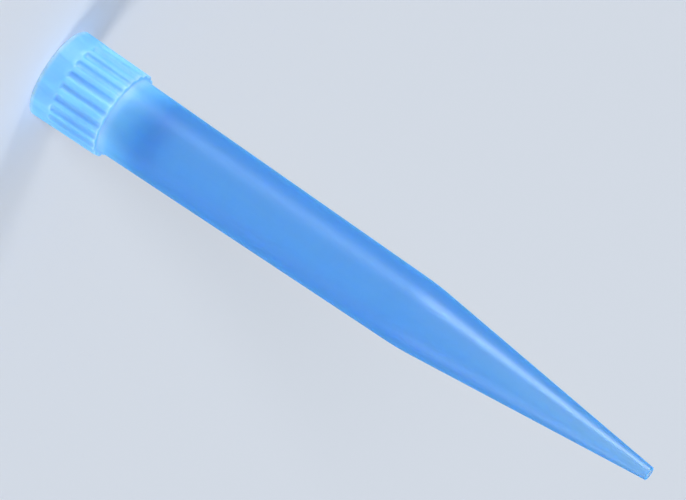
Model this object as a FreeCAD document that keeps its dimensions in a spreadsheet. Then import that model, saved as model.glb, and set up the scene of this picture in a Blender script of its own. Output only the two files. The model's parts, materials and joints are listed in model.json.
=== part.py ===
"""Pipette tip for 1 ml air-displacement pipettes, moulded in one piece from polypropylene.

The tip is a hollow cone with a gentle upper taper, a steep lower taper and a collar of axial
ribs round its mouth. It stands on the flat rim of the mouth: the origin is the centre of the
rim's plane, and +Z runs up the axis to the orifice. All sizes are in millimetres.
"""

import FreeCAD, Part
import math
import os
from collections import namedtuple

import Sketcher

# name: (value in mm, or a plain count, and what it is)
SIZES = {
    "total_length": (71.0, "rim of the mouth to the orifice"),
    "collar_length": (7.8, "rim to the ledge under the ribs"),
    "rim_band": (2.2, "plain band between the rim and the ribs"),
    "seal_bore": (7.6, "cylindrical land that seals on the pipette's shaft"),
    "seal_length": (2.5, "length of the sealing land"),
    "lead_in_depth": (1.2, "rim to the sealing land"),
    "lead_in_flare": (0.35, "how far the lead-in opens outwards to the rim, all round"),
    "rim_wall": (0.6, "width of the rim, from the lead-in to the outside"),
    "rim_rounding": (0.12, "both edges of the rim"),
    "collar_draft": (0.09, "how far the collar draws in from rim to ledge, all round"),
    "ledge_width": (0.575, "step from the ribs' tops down to the body, all round"),
    "neck_fillet": (0.15, "corner between the ledge and the body"),
    "bend_height": (43.5, "rim to the bend between the two tapers"),
    "bend_diameter": (7.2, "outside, at the bend"),
    "bend_rounding": (30.0, "radius of the soft bend, outside and inside"),
    "body_wall": (0.6, "wall of the body, across the axis"),
    "socket_depth": (10.0, "rim to where the bore starts to follow the body"),
    "orifice_bore": (0.8, "hole that the liquid passes"),
    "orifice_wall": (0.3, "width of the ring round the orifice"),
    "rib_count": (22, "ribs round the collar, and grooves between them"),
    "groove_depth": (0.2, "below the ribs' tops, at the ledge"),
    "groove_width": (0.76, "between two ribs, at their tops"),
    "groove_floor_width": (0.5, "between two ribs, at their roots"),
    "groove_runout": (1.0, "how far the cut runs on past the ledge, through the air"),
}

SHEET = "Sizes"
Corner = namedtuple("Corner", "x y rounding")


def cell(name):
    """The expression that reads one size from the sheet."""
    return f"{SHEET}.{name}"


def make_sheet(doc):
    """One row for each size: its name, its value under an alias, and what it is."""
    made = doc.addObject("Spreadsheet::Sheet", SHEET)
    for row, (name, (value, meaning)) in enumerate(SIZES.items(), start=1):
        made.set(f"A{row}", name)
        made.set(f"B{row}", str(value))
        made.set(f"C{row}", meaning)
        made.setAlias(f"B{row}", name)
    return made


def origin_feature(body, role):
    """A body's own origin plane or axis."""
    return next(o for o in body.Origin.OriginFeatures if o.Role == role)


def new_sketch(body, name, plane, lift=None):
    """A sketch on one of the body's origin planes, lifted off it by an expression."""
    made = body.newObject("Sketcher::SketchObject", name)
    made.AttachmentSupport = [(origin_feature(body, plane), "")]
    made.MapMode = "FlatFace"
    if lift:
        made.setExpression("AttachmentOffset.Base.z", lift)
    return made


def value(sketch, expression):
    """What an expression of sheet cells comes to now, for a sketch's first guess."""
    return float(sketch.evalExpression(expression))


def bind(sketch, kind, *where, to):
    """Adds a dimension to a sketch and ties it to an expression of sheet cells."""
    index = sketch.addConstraint(Sketcher.Constraint(kind, *where, value(sketch, to)))
    sketch.setExpression(f"Constraints[{index}]", to)


def place_point(sketch, geometry, end, corner):
    """Puts a point of a sketch at a corner's two coordinates, counted from the origin."""
    bind(sketch, "DistanceX", -1, 1, geometry, end, to=corner.x)
    bind(sketch, "DistanceY", -1, 1, geometry, end, to=corner.y)


def round_corner(before, at, after, radius):
    """The two ends of a corner's arc and the arc itself, tangent to both of its sides.

    Returns the end on the first side, the end on the second side, the arc, and whether the
    arc's own start is on the first side (an arc always runs anticlockwise).
    """
    back = (before - at).normalize()
    ahead = (after - at).normalize()
    opening = back.getAngle(ahead)
    reach = radius / math.tan(opening / 2)
    first, second = at + back * reach, at + ahead * reach
    centre = at + (back + ahead).normalize() * (radius / math.sin(opening / 2))
    starts_first = (at - before).cross(after - at).z > 0
    low, high = (first, second) if starts_first else (second, first)
    angles = [math.atan2((p - centre).y, (p - centre).x) for p in (low, high)]
    if angles[1] < angles[0]:
        angles[1] += 2 * math.pi
    circle = Part.Circle(centre, FreeCAD.Vector(0, 0, 1), radius)
    return first, second, Part.ArcOfCircle(circle, *angles), starts_first


def hold_sharp(sketch, side_in, side_out, corner):
    """Joins two sides at a sharp corner and gives it its two dimensions."""
    sketch.addConstraint(Sketcher.Constraint("Coincident", side_in, 2, side_out, 1))
    place_point(sketch, side_out, 1, corner)


def hold_rounded(sketch, side_in, side_out, corner, point, arc, starts_first):
    """Joins two sides by a tangent arc.

    The sharp point where the sides would meet stays as construction geometry, which carries
    the corner's two dimensions.
    """
    round_off = sketch.addGeometry(arc, False)
    sharp = sketch.addGeometry(Part.Point(point), True)
    end_in, end_out = (1, 2) if starts_first else (2, 1)
    sketch.addConstraint(Sketcher.Constraint("Tangent", side_in, 2, round_off, end_in))
    sketch.addConstraint(Sketcher.Constraint("Tangent", side_out, 1, round_off, end_out))
    for side in (side_in, side_out):
        sketch.addConstraint(Sketcher.Constraint("PointOnObject", sharp, 1, side))
    bind(sketch, "Radius", round_off, to=corner.rounding)
    place_point(sketch, sharp, 1, corner)


def draw_outline(sketch, corners):
    """A closed outline of straight sides through the corners, each corner sharp or rounded."""
    points = [FreeCAD.Vector(value(sketch, c.x), value(sketch, c.y), 0) for c in corners]
    rounded = {}
    for i, corner in enumerate(corners):
        if corner.rounding:
            after = points[(i + 1) % len(corners)]
            radius = value(sketch, corner.rounding)
            rounded[i] = round_corner(points[i - 1], points[i], after, radius)
    sides = []
    for i, point in enumerate(points):
        after = (i + 1) % len(corners)
        start = rounded[i][1] if i in rounded else point
        end = rounded[after][0] if after in rounded else points[after]
        sides.append(sketch.addGeometry(Part.LineSegment(start, end), False))
    for i, corner in enumerate(corners):
        if i in rounded:
            arc, starts_first = rounded[i][2:]
            hold_rounded(sketch, sides[i - 1], sides[i], corner, points[i], arc, starts_first)
        else:
            hold_sharp(sketch, sides[i - 1], sides[i], corner)


def rim_radius():
    """The outside at the rim: the sealing land, the lead-in that opens from it and the rim."""
    return f"({cell('seal_bore')} / 2 + {cell('lead_in_flare')} + {cell('rim_wall')})"


def ledge_radius():
    """The outside over the ribs, where they end at the ledge."""
    return f"({rim_radius()} - {cell('collar_draft')})"


def neck_radius():
    """The outside of the body, where it leaves the ledge."""
    return f"({ledge_radius()} - {cell('ledge_width')})"


def body_radius_at(height):
    """The outside of the upper taper at a height between the ledge and the bend."""
    drop = f"({neck_radius()} - {cell('bend_diameter')} / 2)"
    length = f"({cell('bend_height')} - {cell('collar_length')})"
    return f"({neck_radius()} - {drop} * ({height} - {cell('collar_length')}) / {length})"


def wall_section():
    """The corners of the moulding's wall on one side of the axis: radius, height, rounding."""
    seal = f"{cell('seal_bore')} / 2"
    seal_end = f"{cell('lead_in_depth')} + {cell('seal_length')}"
    socket_end = f"{body_radius_at(cell('socket_depth'))} - {cell('body_wall')}"
    bend, bore = f"{cell('bend_diameter')} / 2", f"{cell('orifice_bore')} / 2"
    rim_edge, soft = cell("rim_rounding"), cell("bend_rounding")
    return [
        Corner(f"{seal} + {cell('lead_in_flare')}", "0", rim_edge),
        Corner(rim_radius(), "0", rim_edge),
        Corner(ledge_radius(), cell("collar_length"), None),
        Corner(neck_radius(), cell("collar_length"), cell("neck_fillet")),
        Corner(bend, cell("bend_height"), soft),
        Corner(f"{bore} + {cell('orifice_wall')}", cell("total_length"), None),
        Corner(bore, cell("total_length"), None),
        Corner(f"{bend} - {cell('body_wall')}", cell("bend_height"), soft),
        Corner(socket_end, cell("socket_depth"), soft),
        Corner(seal, seal_end, None),
        Corner(seal, cell("lead_in_depth"), None),
    ]


def groove_section():
    """The corners of one groove across the axis, wider at the ribs' tops than at its floor.

    Its sides run on at the same slope to a clear distance outside the rim.
    """
    depth, floor_width = cell("groove_depth"), cell("groove_floor_width")
    floor = f"({ledge_radius()} - {depth})"
    outside = f"({rim_radius()} + {depth})"
    slope = f"({cell('groove_width')} - {floor_width}) / 2 / {depth}"
    half_floor = f"{floor_width} / 2"
    half_outside = f"({half_floor} + {slope} * ({outside} - {floor}))"
    return [
        Corner(floor, f"-{half_floor}", None),
        Corner(outside, f"-{half_outside}", None),
        Corner(outside, half_outside, None),
        Corner(floor, half_floor, None),
    ]


def turn_wall(body):
    """The wall turned round the axis: outside, bore, rim, ledge and orifice in one."""
    section = new_sketch(body, "wall_section", "XZ_Plane")
    draw_outline(section, wall_section())
    turned = body.newObject("PartDesign::Revolution", "turned_wall")
    turned.Profile = section
    turned.ReferenceAxis = (section, ["V_Axis"])
    turned.Angle = 360
    body.Document.recompute()
    return turned


def cut_grooves(body, turned):
    """The grooves that leave the ribs: one cut upwards from the rim band, then all round."""
    section = new_sketch(body, "groove_section", "XY_Plane", lift=cell("rim_band"))
    draw_outline(section, groove_section())
    groove = body.newObject("PartDesign::Pocket", "groove")
    groove.Profile = section
    groove.Reversed = True
    groove.setExpression(
        "Length",
        f"{cell('collar_length')} - {cell('rim_band')} + {cell('groove_runout')}",
    )
    body.Document.recompute()
    removed = turned.Shape.Volume - groove.Shape.Volume
    if removed <= 0:
        raise RuntimeError("the groove cuts nothing out of the collar")
    pattern = body.newObject("PartDesign::PolarPattern", "grooves")
    pattern.Originals = [groove]
    pattern.Axis = (origin_feature(body, "Z_Axis"), [""])
    pattern.Angle = 360
    pattern.setExpression("Occurrences", cell("rib_count"))
    body.Tip = pattern
    body.Document.recompute()
    all_removed = turned.Shape.Volume - pattern.Shape.Volume
    print(f"one groove {removed:.4f} mm3, all grooves {all_removed:.4f} mm3")


def check(doc, bodies):
    """Stops if any feature failed, or if a body isn't one sound solid."""
    for thing in doc.Objects:
        if {"Invalid", "Error"} & set(thing.State):
            raise RuntimeError(f"{thing.Name} failed: {thing.State}")
        if thing.TypeId == "Sketcher::SketchObject" and thing.solve() != 0:
            raise RuntimeError(f"{thing.Name} has no solution")
    for body in bodies:
        shape = body.Shape
        if shape.isNull() or not shape.isValid() or len(shape.Solids) != 1:
            raise RuntimeError(f"{body.Label} isn't one valid solid")


doc = FreeCAD.newDocument("pipette_tip")
make_sheet(doc)
doc.recompute()

tip = doc.addObject("PartDesign::Body", "tip")
tip.Label = "pipette_tip"
cut_grooves(tip, turn_wall(tip))

bodies = [tip]
check(doc, bodies)
os.makedirs("parts", exist_ok=True)
for body in bodies:
    body.Shape.exportStep(os.path.join("parts", f"{body.Label}.step"))
    box = body.Shape.optimalBoundingBox()
    print(f"{body.Label}: {box.XLength:.3f} x {box.YLength:.3f} x {box.ZLength:.3f} mm,")
    print(f"  volume {body.Shape.Volume:.3f} mm3, {len(body.Shape.Faces)} faces")
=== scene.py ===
"""Looks of a one-piece pipette tip in frosted sky-blue polypropylene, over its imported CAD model.

The tip stands on the rim of its mouth, with its axis on Z. One closed surface, carried round that axis,
makes the rim, the ribbed collar, the ledge, both tapers, the orifice and the bore.
"""

import json
import logging
import math
from dataclasses import dataclass
from enum import Enum
from typing import Any

import bpy
import numpy as np
from mathutils import Matrix, Vector


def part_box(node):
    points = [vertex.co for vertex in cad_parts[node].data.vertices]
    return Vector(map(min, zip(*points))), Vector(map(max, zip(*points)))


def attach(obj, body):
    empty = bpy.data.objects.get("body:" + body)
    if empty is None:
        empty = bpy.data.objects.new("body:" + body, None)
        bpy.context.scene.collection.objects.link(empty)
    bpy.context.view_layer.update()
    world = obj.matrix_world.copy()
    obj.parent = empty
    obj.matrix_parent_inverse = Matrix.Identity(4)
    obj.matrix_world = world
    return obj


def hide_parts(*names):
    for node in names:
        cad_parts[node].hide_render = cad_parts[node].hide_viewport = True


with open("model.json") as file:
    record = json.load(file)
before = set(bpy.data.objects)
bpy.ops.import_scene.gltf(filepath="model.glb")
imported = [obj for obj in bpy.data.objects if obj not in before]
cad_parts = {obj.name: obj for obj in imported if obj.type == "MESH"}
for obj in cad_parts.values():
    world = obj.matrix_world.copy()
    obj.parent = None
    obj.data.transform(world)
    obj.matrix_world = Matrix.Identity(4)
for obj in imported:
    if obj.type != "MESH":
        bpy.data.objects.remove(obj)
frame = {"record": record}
MM = 0.001
TINY = 1e-9
log = logging.getLogger("pipette_tip")


# --- shader graph -------------------------------------------------------------------------------------


class Value:
    """An output socket that carries a number, so that sums on it add Math nodes."""

    def __init__(self, graph: "Graph", socket: bpy.types.NodeSocket) -> None:
        """Keeps the socket and the graph that it belongs to."""
        self.graph = graph
        self.socket = socket

    def _with(self, operation: str, first: "Number", second: "Number") -> "Value":
        """Adds one Math node.

        Args:
            operation: the Math node's operation.
            first: its first number or socket.
            second: its second number or socket.

        Returns:
            The node's result.
        """
        node = self.graph.add("ShaderNodeMath", {"operation": operation}, {0: first, 1: second})
        return Value(self.graph, node.outputs[0])

    def __add__(self, other: "Number") -> "Value":
        """self + other."""
        return self._with("ADD", self, other)

    __radd__ = __add__

    def __sub__(self, other: "Number") -> "Value":
        """self - other."""
        return self._with("SUBTRACT", self, other)

    def __rsub__(self, other: "Number") -> "Value":
        """other - self."""
        return self._with("SUBTRACT", other, self)

    def __mul__(self, other: "Number") -> "Value":
        """self * other."""
        return self._with("MULTIPLY", self, other)

    __rmul__ = __mul__

    def __truediv__(self, other: "Number") -> "Value":
        """self / other."""
        return self._with("DIVIDE", self, other)

    def __rtruediv__(self, other: "Number") -> "Value":
        """other / self."""
        return self._with("DIVIDE", other, self)


Number = float | Value


class Graph:
    """The node tree of a material or of the world, emptied and ready to be filled."""

    def __init__(self, owner: bpy.types.Material | bpy.types.World) -> None:
        """Empties the owner's node tree."""
        owner.use_nodes = True
        self.tree = owner.node_tree
        self.tree.nodes.clear()

    def add(
        self,
        kind: str,
        settings: dict[str, Any] | None = None,
        inputs: dict[str | int, Any] | None = None,
    ) -> bpy.types.Node:
        """Adds any node, sets it up and fills its sockets.

        Args:
            kind: the node's type, such as ShaderNodeTexNoise.
            settings: the node's own properties. "stops" fills a ramp with (place, colour) pairs.
            inputs: what goes into each socket, by name or number: a value, a Value or a socket.

        Returns:
            The node.
        """
        node = self.tree.nodes.new(kind)
        for name, setting in (settings or {}).items():
            if name == "stops":
                self._set_stops(node.color_ramp.elements, setting)
            else:
                setattr(node, name, setting)
        for name, given in (inputs or {}).items():
            source = given.socket if isinstance(given, Value) else given
            if isinstance(source, bpy.types.NodeSocket):
                self.tree.links.new(source, node.inputs[name])
            else:
                node.inputs[name].default_value = source
        return node

    @staticmethod
    def _set_stops(
        elements: bpy.types.ColorRampElements, stops: tuple[tuple[float, tuple[float, ...]], ...]
    ) -> None:
        """Gives a ramp its stops.

        Args:
            elements: the ramp's elements, of which a new ramp has two.
            stops: a place from 0 to 1 and a colour for each.
        """
        while len(elements) < len(stops):
            elements.new(1.0)
        for element, (place, colour) in zip(elements, stops):
            element.position, element.color = place, colour

    def value(self, node: bpy.types.Node, output: str | int = 0) -> Value:
        """One of a node's outputs, as a number."""
        return Value(self, node.outputs[output])

    def blend(self, share: Number, first: Any, second: Any) -> bpy.types.NodeSocket:
        """Mixes two colours.

        Args:
            share: how much of the second colour shows, from 0 to 1.
            first: a colour or a socket.
            second: a colour or a socket.

        Returns:
            The mixed colour's socket.
        """
        node = self.add("ShaderNodeMix", {"data_type": "RGBA"}, {0: share, 6: first, 7: second})
        return node.outputs[2]


# --- finishes -----------------------------------------------------------------------------------------

Colour = tuple[float, float, float, float]


@dataclass(frozen=True)
class Grain:
    """A noise in the piece's own coordinates. Its spots are as wide round the axis as they are through
    the wall, and have a length of their own up the axis, both in metres. More layers make it finer."""

    width: float
    length: float
    layers: float
    layer_share: float = 0.55

    def noise(self, graph: Graph, place: bpy.types.NodeSocket) -> Value:
        """Adds the noise.

        Args:
            graph: the material's graph.
            place: the piece's own coordinates.

        Returns:
            The noise from 0 to 1, about 0.5 on average.
        """
        repeats = (1 / self.width, 1 / self.width, 1 / self.length)
        stretched = graph.add("ShaderNodeMapping", None, {"Vector": place, "Scale": repeats})
        noise = graph.add(
            "ShaderNodeTexNoise",
            None,
            {
                "Vector": stretched.outputs[0],
                "Scale": 1.0,
                "Detail": self.layers,
                "Roughness": self.layer_share,
            },
        )
        return graph.value(noise)


@dataclass(frozen=True)
class Polypropylene:
    """Blue translucent polypropylene from a finely frosted mould. Lengths are in metres.

    Clear stained plastic and milky plastic share the surface. The milk is on the outside alone, since
    light that crosses the tip meets four surfaces and each would whiten it again. It is thin on the
    body and thick on the collar. The clear plastic is bluer in the collar too, so that the average
    of the two is blue all along the tip. The bore is polished, as the mould's core is. A sheen in
    the plastic's own blue keeps surfaces that are seen aslant from turning grey. The milk's paler
    blue at the rim is a painted highlight, and the fainter one at the ledge is painted light on a
    ledge that the low lamps leave in shade.
    """

    name: str = "polypropylene"
    clear: Colour = (0.99, 1.0, 1.0, 1.0)
    clear_deep: Colour = (0.84, 0.92, 1.0, 1.0)
    clear_thick: Colour = (0.30, 0.66, 1.0, 1.0)
    clear_swing: float = 0.6
    stain: Colour = (0.10, 0.66, 1.0, 1.0)
    stain_density: float = 1500.0
    milky: Colour = (0.05, 0.44, 1.0, 1.0)
    milky_thick: Colour = (0.20, 0.52, 0.98, 1.0)
    # Painted light: this paler blue on the milk is a painted highlight along the rim and, fainter,
    # painted light on the ledge that the low lamps leave in shade.
    edge_painted_light: Colour = (0.42, 0.64, 1.0, 1.0)
    milk_in_wall: float = 0.10
    milk_in_collar: float = 0.80
    milk_swing: float = 0.54
    scatter_depth: float = 1.0 * MM
    scatter_reach: tuple[float, float, float] = (0.7, 1.0, 1.4)
    ior: float = 1.49
    specular: float = 0.5
    glow: Colour = (0.05, 0.50, 1.0, 1.0)
    glow_reach: float = 0.56
    clear_glow: float = 1.0
    milky_glow: float = 0.6
    roughness: float = 0.42
    bore_roughness: float = 0.15
    roughness_swing: float = 0.06
    clouds: Grain = Grain(3.5 * MM, 3.5 * MM, layers=2.0)
    streaks: Grain = Grain(0.9 * MM, 22.0 * MM, layers=3.0)
    frost: Grain = Grain(0.09 * MM, 0.09 * MM, layers=1.0)
    frost_height: float = 0.004 * MM
    frost_strength: float = 0.5
    streak_relief: float = 1.5

    def material(self) -> bpy.types.Material:
        """Builds the material.

        Returns:
            A material whose stain, milk, gloss, grain and painted light vary over the piece. It reads
            the numbers "thickness", "outside" and "edge" that the mesh carries; "edge" places the
            painted highlight at the rim and the painted light at the ledge.
        """
        made = bpy.data.materials.new(self.name)
        graph = Graph(made)
        place = graph.add("ShaderNodeTexCoord").outputs["Object"]
        streaks = self.streaks.noise(graph, place)
        uneven = self.clouds.noise(graph, place) + streaks - 1.0
        relief = self.frost.noise(graph, place) + streaks * self.streak_relief
        thickness, outside, edge = (
            graph.value(graph.add("ShaderNodeAttribute", {"attribute_name": mark}), "Fac")
            for mark in ("thickness", "outside", "edge")
        )
        bump = graph.add(
            "ShaderNodeBump",
            None,
            {"Strength": self.frost_strength, "Distance": self.frost_height, "Height": relief},
        )
        shared = {
            "Roughness": self.bore_roughness
            + outside * (self.roughness - self.bore_roughness)
            + uneven * self.roughness_swing,
            "IOR": self.ior,
            "Specular IOR Level": self.specular,
            "Sheen Roughness": self.glow_reach,
            "Sheen Tint": self.glow,
            "Normal": bump.outputs[0],
        }
        clear_colour = graph.blend(0.5 + uneven * self.clear_swing, self.clear, self.clear_deep)
        clear = graph.add(
            "ShaderNodeBsdfPrincipled",
            None,
            shared
            | {
                "Base Color": graph.blend(thickness, clear_colour, self.clear_thick),
                "Sheen Weight": self.clear_glow,
                "Transmission Weight": 1.0,
            },
        )
        milky_colour = graph.blend(thickness, self.milky, self.milky_thick)
        milky = graph.add(
            "ShaderNodeBsdfPrincipled",
            {"subsurface_method": "RANDOM_WALK"},
            shared
            | {
                # Painted light: where the mesh's edge mask is high the milk turns paler, a painted
                # highlight at the rim and painted light on the shaded ledge.
                "Base Color": graph.blend(edge, milky_colour, self.edge_painted_light),
                "Sheen Weight": self.milky_glow,
                "Subsurface Weight": 1.0,
                "Subsurface Radius": self.scatter_reach,
                "Subsurface Scale": self.scatter_depth,
            },
        )
        milk = self.milk_in_wall + thickness * (self.milk_in_collar - self.milk_in_wall)
        share = outside * milk * (1.0 + uneven * self.milk_swing)
        surface = graph.add(
            "ShaderNodeMixShader", None, {0: share, 1: clear.outputs[0], 2: milky.outputs[0]}
        )
        stain = graph.add(
            "ShaderNodeVolumeAbsorption", None, {"Color": self.stain, "Density": self.stain_density}
        )
        graph.add(
            "ShaderNodeOutputMaterial", None, {"Surface": surface.outputs[0], "Volume": stain.outputs[0]}
        )
        return made


@dataclass(frozen=True)
class PaleFloor:
    """A matt, pale, plain surface."""

    name: str = "pale_floor"
    colour: Colour = (0.80, 0.84, 0.90, 1.0)
    roughness: float = 0.9

    def material(self) -> bpy.types.Material:
        """Builds the material.

        Returns:
            A plain matt material.
        """
        made = bpy.data.materials.new(self.name)
        graph = Graph(made)
        shader = graph.add(
            "ShaderNodeBsdfPrincipled", None, {"Base Color": self.colour, "Roughness": self.roughness}
        )
        graph.add("ShaderNodeOutputMaterial", None, {"Surface": shader.outputs[0]})
        return made


# --- meshes -------------------------------------------------------------------------------------------


def closed_grid(name: str, points: np.ndarray) -> bpy.types.Mesh:
    """Makes a mesh of a grid of points that closes on itself both ways, as a ring's skin does.

    Args:
        name: the mesh's name.
        points: rows by columns by 3, in metres. The step to the next column crossed with the step to
            the next row points outwards.

    Returns:
        The mesh, smooth shaded.
    """
    rows, columns = points.shape[:2]
    index = np.arange(rows * columns).reshape(rows, columns)
    down, right = np.roll(index, -1, axis=0), np.roll(index, -1, axis=1)
    both = np.roll(down, -1, axis=1)
    faces = np.stack([index, right, both, down], axis=-1).reshape(-1, 4)
    mesh = bpy.data.meshes.new(name)
    mesh.from_pydata(points.reshape(-1, 3), [], faces)
    mesh.shade_smooth()
    mesh.update()
    return mesh


@dataclass(frozen=True)
class Corner:
    """A corner of the wall's section: its radius, its height and how far it is rounded, in millimetres,
    how many steps its rounding has, and how many steps the straight run after it has."""

    radius: float
    height: float
    rounding: float
    turns: int
    run: int


def rounded_section(corners: list[Corner]) -> np.ndarray:
    """The closed section through the corners, each rounded by a tangent arc.

    An arc of radius R in a corner that opens by an angle A starts and ends R / tan(A / 2) along the
    corner's sides, and its centre lies R / sin(A / 2) along the line that halves the corner.

    Args:
        corners: the corners in order.

    Returns:
        Points by 2: radius and height, in millimetres.
    """
    at = np.array([(c.radius, c.height) for c in corners])
    back = np.roll(at, 1, axis=0) - at
    ahead = np.roll(at, -1, axis=0) - at
    back /= np.linalg.norm(back, axis=1, keepdims=True)
    ahead /= np.linalg.norm(ahead, axis=1, keepdims=True)
    half = np.arccos(np.clip((back * ahead).sum(1), -1, 1)) / 2
    size = np.array([c.rounding for c in corners])
    middle = back + ahead
    middle /= np.maximum(np.linalg.norm(middle, axis=1, keepdims=True), TINY)
    centre = at + middle * (size / np.sin(half))[:, None]
    first = at + back * (size / np.tan(half))[:, None]
    last = at + ahead * (size / np.tan(half))[:, None]
    pieces = []
    for i, corner in enumerate(corners):
        share = np.linspace(0, 1, corner.turns + 1)[:, None]
        start = np.arctan2(*(first[i] - centre[i])[::-1])
        end = np.arctan2(*(last[i] - centre[i])[::-1])
        sweep = (end - start + math.pi) % (2 * math.pi) - math.pi
        angle = start + sweep * share
        pieces.append(centre[i] + size[i] * np.hstack([np.cos(angle), np.sin(angle)]))
        following = (i + 1) % len(corners)
        share = np.linspace(0, 1, corner.run + 1)[1:-1, None]
        pieces.append(last[i] * (1 - share) + first[following] * share)
    return np.vstack(pieces)


class Side(Enum):
    """The two sides of a soft limit between two surfaces."""

    LOWER = -1.0
    UPPER = 1.0


def soft_limit(first: np.ndarray, second: np.ndarray, side: Side, softness: float) -> np.ndarray:
    """The lower or the upper of two surfaces, with the edge where they cross rounded.

    It is half their sum plus or minus half of the square root of their difference squared plus the
    softness squared.

    Args:
        first: one surface.
        second: the other surface.
        side: which of the two is kept.
        softness: about how far the rounding reaches, in their own unit.

    Returns:
        The limited surface.
    """
    gap = np.sqrt((first - second) ** 2 + softness**2)
    return (first + second + side.value * gap) / 2


@dataclass
class PipetteTip:
    """The tip's one moulded piece. Sizes are in millimetres.

    The softness of the ribs' edges, the fades of the finish, the reach of the painted light at the rim
    and the ledge and the numbers of columns belong to the looks. All other sizes are the part's own.
    """

    rim_radius: float
    total_length: float
    collar_length: float
    seal_radius: float
    rim_wall: float = 0.6
    rim_band: float = 2.2
    rim_rounding: float = 0.12
    collar_draft: float = 0.09
    lead_in_depth: float = 1.2
    seal_length: float = 2.5
    seal_rounding: float = 0.2
    socket_depth: float = 10.0
    ledge_width: float = 0.575
    ledge_rounding: float = 0.10
    neck_fillet: float = 0.15
    bend_height: float = 43.5
    bend_radius: float = 3.6
    bend_rounding: float = 30.0
    wall: float = 0.6
    orifice_radius: float = 0.4
    orifice_wall: float = 0.3
    orifice_rounding: float = 0.06
    rib_count: int = 22
    groove_depth: float = 0.2
    groove_width: float = 0.76
    groove_floor: float = 0.5
    groove_run_in: float = 0.35
    groove_run_out: float = 0.275
    edge_softness: float = 0.18
    side_columns: int = 5
    side_start: float = 0.86
    side_end: float = 1.08
    collar_fade: float = 5.0
    # The reach and fade of the painted highlight at the rim, and how strong the painted light on the
    # shaded ledge is.
    painted_light_reach: float = 0.55
    painted_light_fade: float = 0.25
    ledge_painted_light: float = 0.25

    @property
    def ledge_radius(self) -> float:
        """The outside over the ribs, at the ledge."""
        return self.rim_radius - self.collar_draft

    @property
    def neck_radius(self) -> float:
        """The outside of the body where it leaves the ledge."""
        return self.ledge_radius - self.ledge_width

    @property
    def pitch(self) -> float:
        """The angle from one groove to the next, in radians."""
        return 2 * math.pi / self.rib_count

    def collar_radius(self, height: float | np.ndarray) -> float | np.ndarray:
        """The outside over the ribs at one or many heights: it draws in evenly from rim to ledge."""
        return self.rim_radius - self.collar_draft * height / self.collar_length

    def corners(self) -> list[Corner]:
        """Lists the corners of the wall's section on one side of the axis.

        Returns:
            The corners from the mouth up the outside to the orifice, and down the bore.
        """
        drop = (self.neck_radius - self.bend_radius) / (self.bend_height - self.collar_length)
        socket_end = self.neck_radius - drop * (self.socket_depth - self.collar_length) - self.wall
        seal_end = self.lead_in_depth + self.seal_length
        orifice = self.orifice_radius + self.orifice_wall
        groove_end = self.rim_band + self.groove_run_in
        soft, rim = self.bend_rounding, self.rim_rounding
        return [
            Corner(self.rim_radius - self.rim_wall, 0.0, rim, 5, 3),
            Corner(self.rim_radius, 0.0, rim, 6, 5),
            Corner(self.collar_radius(self.rim_band), self.rim_band, 0.0, 0, 5),
            Corner(self.collar_radius(groove_end), groove_end, 0.0, 0, 14),
            Corner(self.ledge_radius, self.collar_length, self.ledge_rounding, 6, 3),
            Corner(self.neck_radius, self.collar_length, self.neck_fillet, 5, 40),
            Corner(self.bend_radius, self.bend_height, soft, 10, 36),
            Corner(orifice, self.total_length, self.orifice_rounding, 5, 2),
            Corner(self.orifice_radius, self.total_length, self.orifice_rounding, 4, 36),
            Corner(self.bend_radius - self.wall, self.bend_height, soft, 10, 36),
            Corner(socket_end, self.socket_depth, soft, 8, 8),
            Corner(self.seal_radius, seal_end, self.seal_rounding, 3, 4),
            Corner(self.seal_radius, self.lead_in_depth, self.seal_rounding, 3, 3),
        ]

    def angles(self) -> np.ndarray:
        """The columns' places round the axis.

        They are close together on each side of a groove, from a little inside the edge of its floor
        to a little past its top.

        Returns:
            Angles in radians over one whole turn, from the middle of the groove on +X.
        """
        floor = self.groove_floor / 2 / self.ledge_radius
        top = self.groove_width / 2 / self.ledge_radius
        side = np.linspace(floor * self.side_start, top * self.side_end, self.side_columns)
        half = np.concatenate([[0.0, floor / 2], side, [(top + self.pitch / 2) / 2]])
        one = np.concatenate([[-self.pitch / 2], -half[:0:-1], half])
        starts = np.arange(self.rib_count)[:, None] * self.pitch
        return (starts + one).ravel()

    def grooved(self, angle: np.ndarray, outside: np.ndarray) -> np.ndarray:
        """The collar's radius where grooves are cut into it.

        A groove has a flat floor, at F / cos(a) from the axis for the angle a from its middle, and
        two flat sides that open outwards by a slope S: there the radius is
        (S * F - W) / (S * cos(a) - sin(a)), with W half of the floor's width. The collar keeps the
        lower of its outside and the higher of floor and side.

        Args:
            angle: radians from the middle of the groove on +X, by column.
            outside: the collar's own radius, by row.

        Returns:
            Radius in millimetres, rows by columns.
        """
        off = np.abs((angle + self.pitch / 2) % self.pitch - self.pitch / 2)
        floor_radius = self.ledge_radius - self.groove_depth
        slope = (self.groove_width - self.groove_floor) / 2 / self.groove_depth
        floor = floor_radius / np.cos(off)
        side = (slope * floor_radius - self.groove_floor / 2) / (slope * np.cos(off) - np.sin(off))
        cut = soft_limit(floor, side, Side.UPPER, self.edge_softness)
        return soft_limit(outside[:, None], cut[None, :], Side.LOWER, self.edge_softness)

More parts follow.
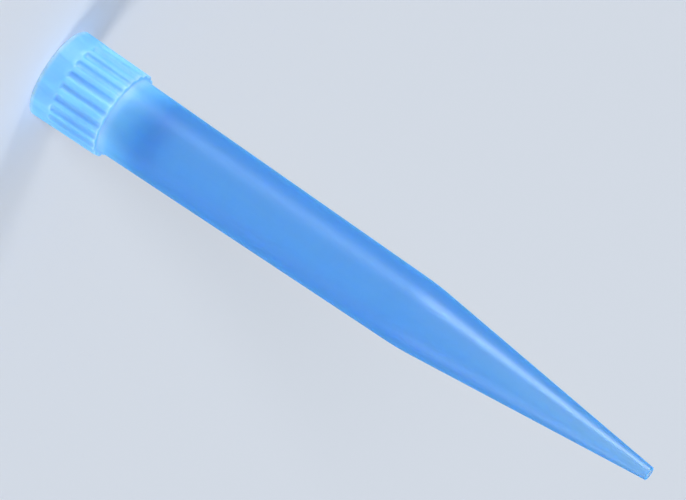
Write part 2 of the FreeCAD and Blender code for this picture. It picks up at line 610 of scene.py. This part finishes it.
    def surface(self) -> tuple[np.ndarray, dict[str, np.ndarray]]:
        """The whole skin of the piece.

        The section is carried round the axis. On the collar's outside each point moves inwards by
        the local depth of the groove. On the ledge that share falls evenly to nothing before the
        neck, and over the run-in above the rim band it grows from nothing as a smooth step.

        Returns:
            Points, rows by columns by 3, in metres, and three numbers from 0 to 1 for each row:
            "thickness" is 1 on the collar and fades up the body, "outside" is 0 down the bore, and
            "edge", the mask of painted light, is 1 at the rim and less at the ledge, and fades beside
            them.
        """
        section = rounded_section(self.corners())
        radius, height = section[:, 0], section[:, 1]
        outer = np.arange(len(height)) <= height.argmax()
        angle = self.angles()
        outside = self.collar_radius(height)
        depth = outside[:, None] - self.grooved(angle, outside)
        depth -= depth.min(axis=1, keepdims=True)
        rise = np.clip((height - self.rim_band) / self.groove_run_in, 0, 1)
        begun = rise * rise * (3 - 2 * rise)
        across = np.clip((radius - self.neck_radius - self.neck_fillet) / self.groove_run_out, 0, 1)
        on_collar = outer & (height <= self.collar_length + TINY)
        depth *= (begun * across * on_collar)[:, None]
        around = (radius[:, None] - depth)[..., None] * np.stack([np.cos(angle), np.sin(angle)], -1)
        upright = np.broadcast_to(height[:, None, None], around.shape[:2] + (1,))
        # Painted light: the edge mask lays a painted highlight along the rim and a fainter painted light
        # on the ledge, where the low lamps leave shade.
        by_rim = (self.painted_light_reach - height) / self.painted_light_fade
        by_ledge = (self.painted_light_reach - np.abs(height - self.collar_length)) / self.painted_light_fade
        marks = {
            "thickness": np.clip((self.collar_length - height) / self.collar_fade + 1, 0, 1),
            "outside": outer,
            "edge": outer * np.clip(np.maximum(by_rim, self.ledge_painted_light * by_ledge), 0, 1),
        }
        return np.concatenate([around, upright], -1) * MM, marks

    def build(self, finish: Polypropylene) -> bpy.types.Object:
        """Makes the piece, dresses it and puts it on its CAD body.

        Args:
            finish: the plastic that it is moulded from.

        Returns:
            The piece.
        """
        points, marks = self.surface()
        mesh = closed_grid("pipette_tip_skin", points)
        for name, by_row in marks.items():
            spread = np.repeat(by_row, points.shape[1]).astype(np.float32)
            mesh.attributes.new(name, "FLOAT", "POINT").data.foreach_set("value", spread)
        mesh.materials.append(finish.material())
        piece = bpy.data.objects.new("moulded_tip", mesh)
        bpy.context.scene.collection.objects.link(piece)
        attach(piece, "root")
        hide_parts("pipette_tip")
        return piece


# --- studio -------------------------------------------------------------------------------------------


def direction(azimuth: float, elevation: float) -> Vector:
    """Points from the tip to where something stands.

    Args:
        azimuth: degrees round Z, from 0 at -Y towards +X.
        elevation: degrees above the floor.

    Returns:
        The direction, of length 1.
    """
    turn, rise = math.radians(azimuth), math.radians(elevation)
    return Vector((math.sin(turn) * math.cos(rise), -math.cos(turn) * math.cos(rise), math.sin(rise)))


@dataclass(frozen=True)
class View:
    """A camera that looks at the tip from a little above, turned so that the tip lies across the frame.
    Lengths are in metres and angles in degrees."""

    azimuth: float = -2.7
    elevation: float = 16.4
    roll: float = 124.2
    distance: float = 0.911
    lens_mm: float = 500.0
    sensor_mm: float = 36.0
    nearest: float = 0.01
    farthest: float = 10.0
    aim: tuple[float, float, float] = (-0.00123, 0.0, 0.03366)

    def build(self) -> bpy.types.Object:
        """Makes the camera and gives it to the scene.

        Returns:
            The camera.
        """
        turn, roll = math.radians(self.azimuth), math.radians(self.roll)
        back = direction(self.azimuth, self.elevation)
        level = Vector((math.cos(turn), math.sin(turn), 0.0))
        upward = back.cross(level)
        right = math.cos(roll) * level + math.sin(roll) * upward
        up = math.cos(roll) * upward - math.sin(roll) * level
        data = bpy.data.cameras.new("camera")
        data.lens, data.sensor_width = self.lens_mm, self.sensor_mm
        data.clip_start, data.clip_end = self.nearest, self.farthest
        camera = bpy.data.objects.new("camera", data)
        bpy.context.scene.collection.objects.link(camera)
        turned = Matrix((right, up, back)).transposed().to_4x4()
        camera.matrix_world = Matrix.Translation(Vector(self.aim) + back * self.distance) @ turned
        bpy.context.scene.camera = camera
        return camera


@dataclass(frozen=True)
class SoftLamp:
    """A large soft lamp, so far away that it lights the whole floor evenly. Angles are in degrees: the
    spread is how wide the lamp looks from the tip. The strength is in watts on a square metre."""

    name: str
    azimuth: float
    elevation: float
    spread: float
    strength: float

    def build(self) -> bpy.types.Object:
        """Makes the lamp.

        Returns:
            The lamp.
        """
        away = direction(self.azimuth, self.elevation)
        data = bpy.data.lights.new(self.name, "SUN")
        data.energy, data.angle = self.strength, math.radians(self.spread)
        lamp = bpy.data.objects.new(self.name, data)
        bpy.context.scene.collection.objects.link(lamp)
        lamp.location = away
        lamp.rotation_mode = "QUATERNION"
        lamp.rotation_quaternion = away.to_track_quat("Z", "Y")
        return lamp


@dataclass(frozen=True)
class Studio:
    """The pale floor, the pale surroundings and the soft lamps."""

    floor_radius: float = 3.0
    floor_segments: int = 96
    surroundings: Colour = (0.86, 0.92, 1.0, 1.0)
    seen_strength: float = 0.78
    light_strength: float = 0.41
    lamps: tuple[SoftLamp, ...] = (
        SoftLamp("low_lamp", -62.0, 3.0, 20.0, 4.4),
        SoftLamp("left_lamp", -85.0, 30.0, 30.0, 0.2),
        SoftLamp("right_lamp", 80.0, 16.0, 28.0, 2.6),
        SoftLamp("front_lamp", -6.0, 20.0, 9.0, 0.8),
    )

    def build(self) -> None:
        """Makes the floor, the surroundings and the lamps, and sets the plain view transform."""
        bpy.context.scene.view_settings.view_transform = "Standard"
        self._floor()
        self._world()
        for lamp in self.lamps:
            lamp.build()

    def _floor(self) -> None:
        """Makes the floor, a flat round sheet under the rim of the mouth."""
        angle = np.linspace(0, 2 * math.pi, self.floor_segments, endpoint=False)
        points = np.stack([np.cos(angle), np.sin(angle), 0 * angle], -1) * self.floor_radius
        mesh = bpy.data.meshes.new("floor")
        mesh.from_pydata(points, [], [range(self.floor_segments)])
        mesh.materials.append(PaleFloor().material())
        floor = bpy.data.objects.new("floor", mesh)
        bpy.context.scene.collection.objects.link(floor)

    def _world(self) -> None:
        """Fills the surroundings with pale light: one strength where they are seen, straight or in
        the plastic, and another where they light things."""
        world = bpy.data.worlds.new("surroundings")
        bpy.context.scene.world = world
        graph = Graph(world)
        path = graph.add("ShaderNodeLightPath")
        names = ("Is Camera Ray", "Is Glossy Ray", "Is Transmission Ray")
        seen = sum(graph.value(path, name) for name in names)
        seen = Value(graph, graph.add("ShaderNodeClamp", None, {"Value": seen}).outputs[0])
        strength = self.light_strength + seen * (self.seen_strength - self.light_strength)
        light = graph.add(
            "ShaderNodeBackground", None, {"Color": self.surroundings, "Strength": strength}
        )
        graph.add("ShaderNodeOutputWorld", None, {"Surface": light.outputs[0]})


# --- the part -----------------------------------------------------------------------------------------


def mount(name: str) -> dict[str, Any]:
    """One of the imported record's mounts, by name."""
    return next(m for m in frame["record"]["mounts"] if m["name"] == name)


def main() -> None:
    """Builds the camera, the studio and the piece."""
    logging.basicConfig(level=logging.INFO, format="%(name)s: %(message)s")
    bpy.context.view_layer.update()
    View().build()
    Studio().build()
    low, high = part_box("pipette_tip")
    socket, ledge = mount("shaft_socket"), mount("rack_ledge")
    tip = PipetteTip(
        rim_radius=min(high.x - low.x, high.y - low.y) / 2 / MM,
        total_length=(high.z - low.z) / MM,
        collar_length=ledge["pos_m"][2] / MM,
        seal_radius=socket["dims"]["r_mm"],
    )
    piece = tip.build(Polypropylene())
    log.info("%s: %d faces", piece.name, len(piece.data.polygons))


if __name__ == "__main__":
    main()
